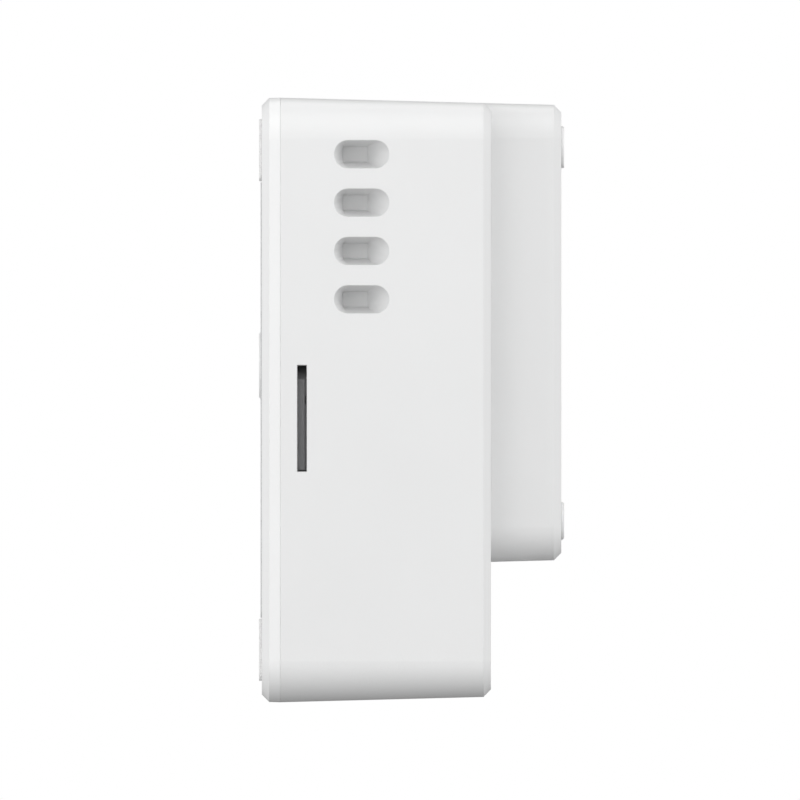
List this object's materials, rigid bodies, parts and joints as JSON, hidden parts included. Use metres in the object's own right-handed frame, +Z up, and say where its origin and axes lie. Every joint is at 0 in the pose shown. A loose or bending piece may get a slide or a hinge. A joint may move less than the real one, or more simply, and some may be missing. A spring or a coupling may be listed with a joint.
{
  "type": "video doorbell",
  "caption": "Deep white wall-mounted video doorbell with a raised camera block, round push button, side scoops, card slot and slide-out battery.",
  "frame": {"origin": "middle of the wall plane that the two adhesive pads touch, halfway up the body", "axes": "+Y points into the wall, -Y is the doorbell's front, +Z is up, +X is to the right when seen from the front"},
  "size_m": [0.072, 0.0706, 0.14],
  "materials": {
    "white_plastic": "fine spark-eroded matt texture",
    "rear_plastic": "fine matt texture, a little brighter than the housing",
    "bezel_plastic": "smooth satin",
    "button_plastic": "polished, dished face",
    "milky_plastic": "smooth milky lens plastic",
    "smoked_glass": "dark smoked window",
    "light_guide": "frosted clear light guide",
    "adhesive_foam": "soft adhesive pad",
    "gasket_foam": "thin closed-cell foam",
    "grey_rubber": "soft moulded rubber",
    "black_rubber": "moulded silicone",
    "black_plastic": "glass-filled black plastic",
    "battery_plastic": "dark grey battery case",
    "plunger_plastic": "red-brown switch plunger",
    "circuit_board": "green solder mask with copper tracks",
    "chip_plastic": "moulded epoxy",
    "sensor_glass": "covered silicon",
    "sheet_steel": "pressed tinned sheet",
    "spring_steel": "bright drawn wire",
    "screw_steel": "zinc plated",
    "screw_brass": "nickel-free brass",
    "contact_gold": "gold plated",
    "cell_wrap": "shrink-wrapped cell",
    "card_plastic": "grey card with a label and gold contacts",
    "ribbon_film": "amber polyimide film",
    "led_resin": "clear resin",
    "lens_metal": "black anodised",
    "lens_glass": "coated lens",
    "filter_glass": "coated filter",
    "cone_paper": "pressed paper",
    "magnet_steel": "dark ferrite in a steel cup",
    "mesh_cloth": "woven dust mesh"
  },
  "bodies": {
    "unit": {"antenna": "spring_steel", "battery_sleeve": "black_plastic", "board_chips": "chip_plastic", "board_screws": "screw_steel", "button_board": "circuit_board", "button_spring": "spring_steel", "button_switch": "black_plastic", "cable_grommet": "grey_rubber", "camera_bezel": "bezel_plastic", "camera_board": "circuit_board", "camera_mount": "black_plastic", "camera_window": "smoked_glass", "card_socket": "sheet_steel", "contact_block": "black_plastic", "contact_pins": "contact_gold", "cover_screws": "screw_steel", "front_housing": "white_plastic", "housing_seal": "black_rubber", "image_sensor": "sensor_glass", "infrared_leds": "led_resin", "inner_cover": "black_plastic", "led_board": "circuit_board", "lens_barrel": "lens_metal", "lens_elements": "lens_glass", "light_ring": "light_guide", "light_sensor": "chip_plastic", "main_board": "circuit_board", "microphone": "sheet_steel", "microphone_seal": "black_rubber", "module_screws": "screw_steel", "motion_sensor": "sheet_steel", "motion_window": "milky_plastic", "rear_plate": "rear_plastic", "ribbon_cables": "ribbon_film", "ring_leds": "led_resin", "security_screw": "screw_steel", "sensor_board": "circuit_board", "shield_cans": "sheet_steel", "speaker_box": "black_plastic", "speaker_cone": "cone_paper", "speaker_frame": "black_plastic", "speaker_gasket": "gasket_foam", "speaker_magnet": "magnet_steel", "speaker_mesh": "mesh_cloth", "terminal_block": "black_plastic", "terminal_screws": "screw_brass", "wall_gasket": "gasket_foam", "wall_pads": "adhesive_foam"},
    "button": {"bell_button": "button_plastic", "switch_plunger": "plunger_plastic"},
    "card": {"memory_card": "card_plastic"},
    "battery": {"battery_tray": "battery_plastic", "battery_cells": "cell_wrap", "battery_door": "white_plastic", "door_seal": "black_rubber", "battery_contacts": "contact_gold"},
    "filter": {"filter_slider": "black_plastic", "infrared_filter": "filter_glass"}
  },
  "joints": [
    {"name": "bell_press", "type": "slide", "parent": "unit", "child": "button", "axis": [0, 1, 0], "range_m": [0, 0.0008], "stiffness_N_per_m": 900, "springref_m": -0.0015, "deforming": ["button_spring"]},
    {"name": "card_slide", "type": "slide", "parent": "unit", "child": "card", "axis": [-1, 0, 0], "range_m": [0, 0.03]},
    {"name": "battery_slide", "type": "slide", "parent": "unit", "child": "battery", "axis": [0, 0, -1], "range_m": [0, 0.072]},
    {"name": "filter_shift", "type": "slide", "parent": "unit", "child": "filter", "axis": [1, 0, 0], "range_m": [0, 0.0045]}
  ]
}
